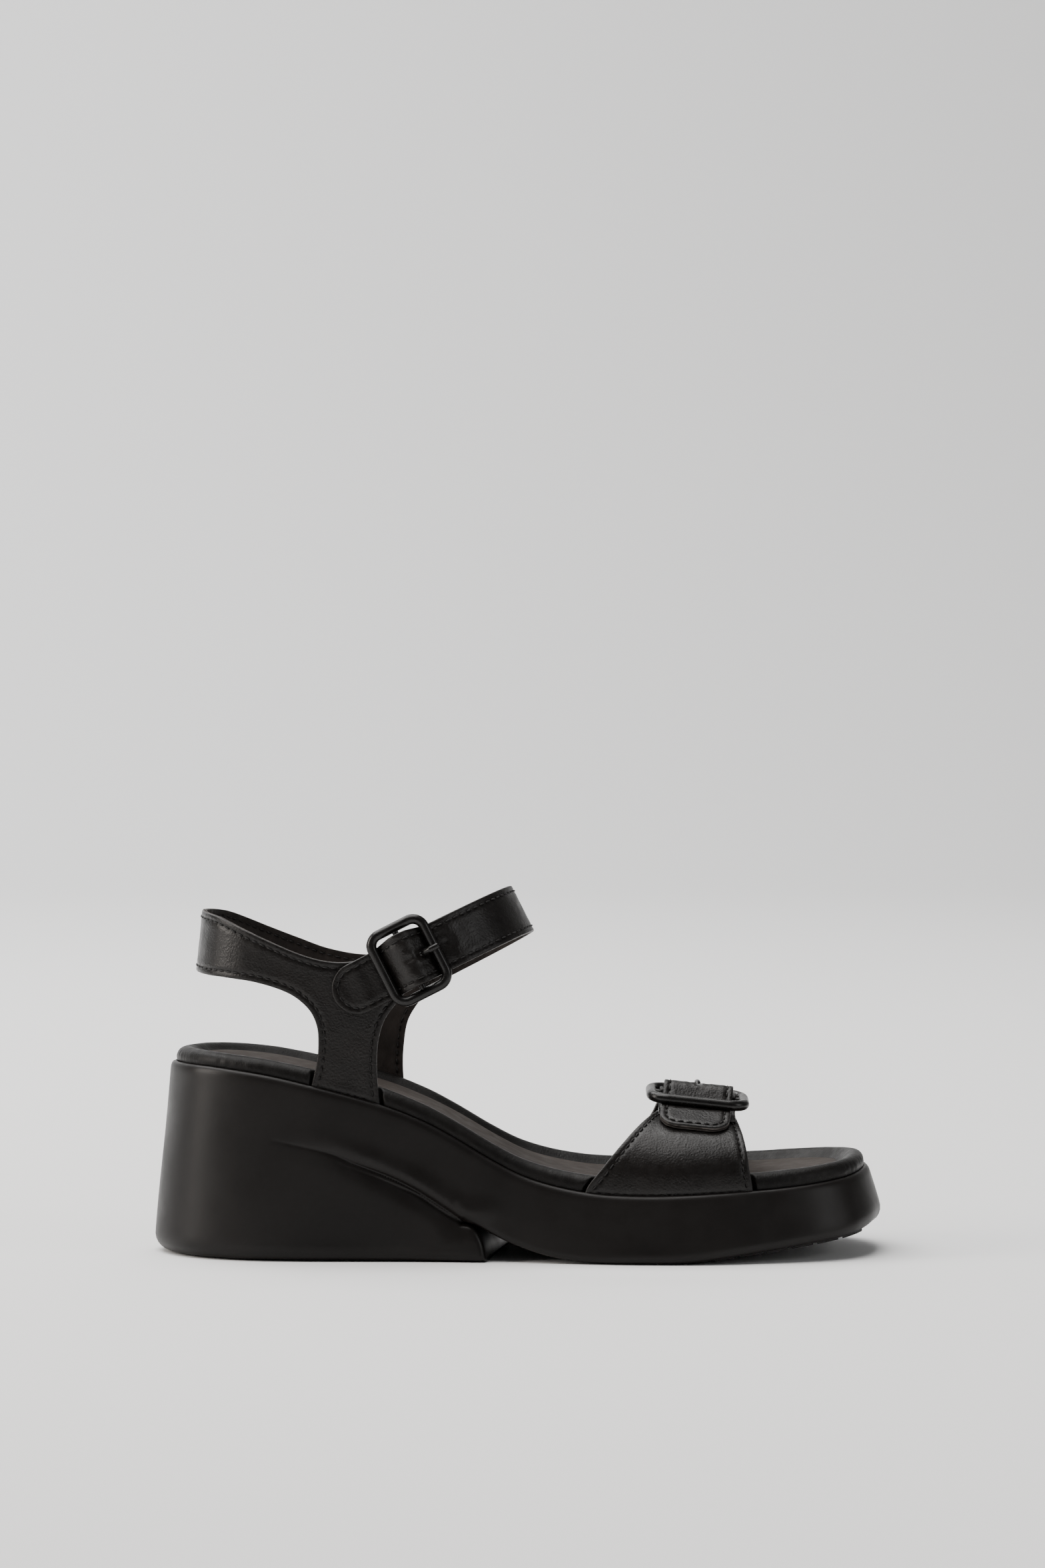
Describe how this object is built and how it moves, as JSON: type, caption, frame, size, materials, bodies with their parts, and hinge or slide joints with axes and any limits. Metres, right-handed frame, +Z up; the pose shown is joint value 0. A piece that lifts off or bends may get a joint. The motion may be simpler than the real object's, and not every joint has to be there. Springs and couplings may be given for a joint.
{
  "type": "wedge sandal",
  "caption": "Black leather wedge sandal with an open arch under the waist, a padded footbed, a buckled ankle strap over a heel collar and a buckled forefoot strap.",
  "frame": {"origin": "on the floor, at the centre of the sole's bounding box", "axes": "+X towards the toe, -Y towards the outer side of the foot, +Z up"},
  "size_m": [0.2548, 0.094, 0.1276],
  "materials": {
    "sole": "matte",
    "tread": "matte",
    "board": "matte",
    "shank_steel": "satin",
    "filler": "matte",
    "foam": "matte",
    "sock_leather": "satin",
    "rim_leather": "satin",
    "upper_leather": "satin",
    "lining_leather": "matte",
    "buckle_metal": "satin",
    "thread": "matte"
  },
  "bodies": {
    "shoe": {"wedge_sole": "sole", "heel_tread": "tread", "forefoot_tread": "tread", "insole_board": "board", "steel_shank": "shank_steel", "shank_rivets": "shank_steel", "bottom_filler": "filler", "footbed_foam": "foam", "sock_lining": "sock_leather", "footbed_rim": "rim_leather", "quarter_outer": "upper_leather", "quarter_lining": "lining_leather", "ankle_chape": "upper_leather", "vamp_lateral_outer": "upper_leather", "vamp_lateral_lining": "lining_leather", "vamp_medial_outer": "upper_leather", "vamp_medial_lining": "lining_leather", "vamp_chape": "upper_leather"},
    "ankle_strap": {"ankle_strap_outer": "upper_leather", "ankle_strap_lining": "lining_leather"},
    "ankle_buckle": {"ankle_buckle_frame": "buckle_metal"},
    "ankle_prong": {"ankle_prong": "buckle_metal"},
    "vamp_strap": {"vamp_strap_outer": "upper_leather", "vamp_strap_lining": "lining_leather"},
    "vamp_buckle": {"vamp_buckle_frame": "buckle_metal"},
    "vamp_prong": {"vamp_prong": "buckle_metal"}
  },
  "joints": [
    {"name": "ankle_strap_open", "type": "hinge", "parent": "shoe", "child": "ankle_strap", "pos_m": [-0.02897, 0.03394, 0.10084], "axis": [-0.4524, 0.0832, 0.8879], "range_deg": [0, 100], "deforming": ["ankle_strap_outer", "ankle_strap_lining"]},
    {"name": "ankle_buckle_tilt", "type": "hinge", "parent": "shoe", "child": "ankle_buckle", "pos_m": [-0.03723, -0.03749, 0.10389], "axis": [-0.4524, 0.0832, 0.8879], "range_deg": [0, 40]},
    {"name": "ankle_prong_pivot", "type": "hinge", "parent": "ankle_buckle", "child": "ankle_prong", "pos_m": [-0.03723, -0.03749, 0.10389], "axis": [-0.4524, 0.0832, 0.8879], "range_deg": [-100, 0]},
    {"name": "vamp_strap_open", "type": "hinge", "parent": "shoe", "child": "vamp_strap", "pos_m": [0.06213, 0.01124, 0.05254], "axis": [-0.9942, -0.0105, 0.1069], "range_deg": [0, 90], "deforming": ["vamp_strap_outer", "vamp_strap_lining"]},
    {"name": "vamp_buckle_tilt", "type": "hinge", "parent": "shoe", "child": "vamp_buckle", "pos_m": [0.0625, -0.007, 0.05415], "axis": [-0.9942, -0.0105, 0.1069], "range_deg": [0, 30]},
    {"name": "vamp_prong_pivot", "type": "hinge", "parent": "vamp_buckle", "child": "vamp_prong", "pos_m": [0.0625, -0.007, 0.05415], "axis": [-0.9942, -0.0105, 0.1069], "range_deg": [-100, 0]}
  ],
  "couplings": [
    {"joint": "ankle_buckle_tilt", "follows": "ankle_strap_open", "ratio": 0.35},
    {"joint": "ankle_prong_pivot", "follows": "ankle_strap_open", "ratio": -0.95},
    {"joint": "vamp_buckle_tilt", "follows": "vamp_strap_open", "ratio": 0.3},
    {"joint": "vamp_prong_pivot", "follows": "vamp_strap_open", "ratio": -1.05}
  ]
}
